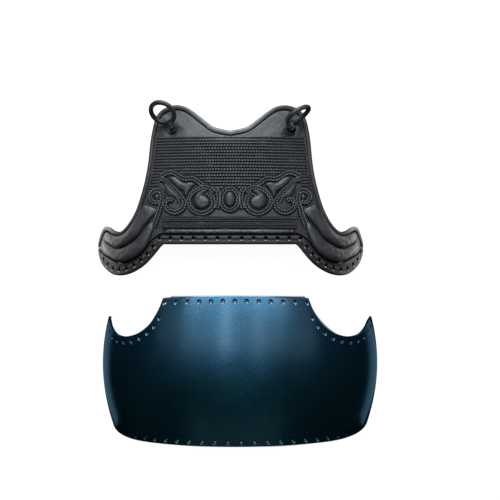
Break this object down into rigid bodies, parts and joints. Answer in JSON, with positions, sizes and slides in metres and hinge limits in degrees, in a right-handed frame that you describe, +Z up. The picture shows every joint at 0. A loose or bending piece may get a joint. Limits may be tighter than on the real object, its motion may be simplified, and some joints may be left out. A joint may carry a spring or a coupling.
{
  "type": "kendo chest protector",
  "caption": "Unlaced kendo chest protector lying face up: quilted black leather breastplate with shoulder loops, and a curved glossy body shell with lacing holes.",
  "frame": {"origin": "on the floor under the middle of the whole layout's box", "axes": "+X to the right seen from above with the neck away, +Y towards the neck, +Z up out of the chest"},
  "size_m": [0.4555, 0.5327, 0.16],
  "materials": {
    "lacquer": "deep blue-green black gloss lacquer with a fine speckle",
    "leather": "black quilted leather with a soft sheen",
    "trim_leather": "black binding leather, a little worn along the edges",
    "braid": "black twisted cotton braid",
    "loop_leather": "stiff smooth black leather"
  },
  "bodies": {
    "root": {"dai_shell": "lacquer", "mune_panel": "leather", "mune_rim": "trim_leather", "lacing_band": "trim_leather", "ridge_roll": "trim_leather", "lower_braid": "braid", "upper_braid": "braid", "side_braid_left": "braid", "side_braid_right": "braid", "wing_rib_upper_left": "leather", "wing_rib_upper_right": "leather", "wing_rib_lower_left": "leather", "wing_rib_lower_right": "leather", "egg_boss": "leather", "comma_boss_left": "leather", "comma_boss_right": "leather", "leaf_crest_left": "leather", "leaf_crest_right": "leather", "curl_left": "leather", "curl_right": "leather", "small_curl_left": "leather", "small_curl_right": "leather", "shoulder_loop_left": "loop_leather", "shoulder_loop_right": "loop_leather"}
  },
  "joints": []
}
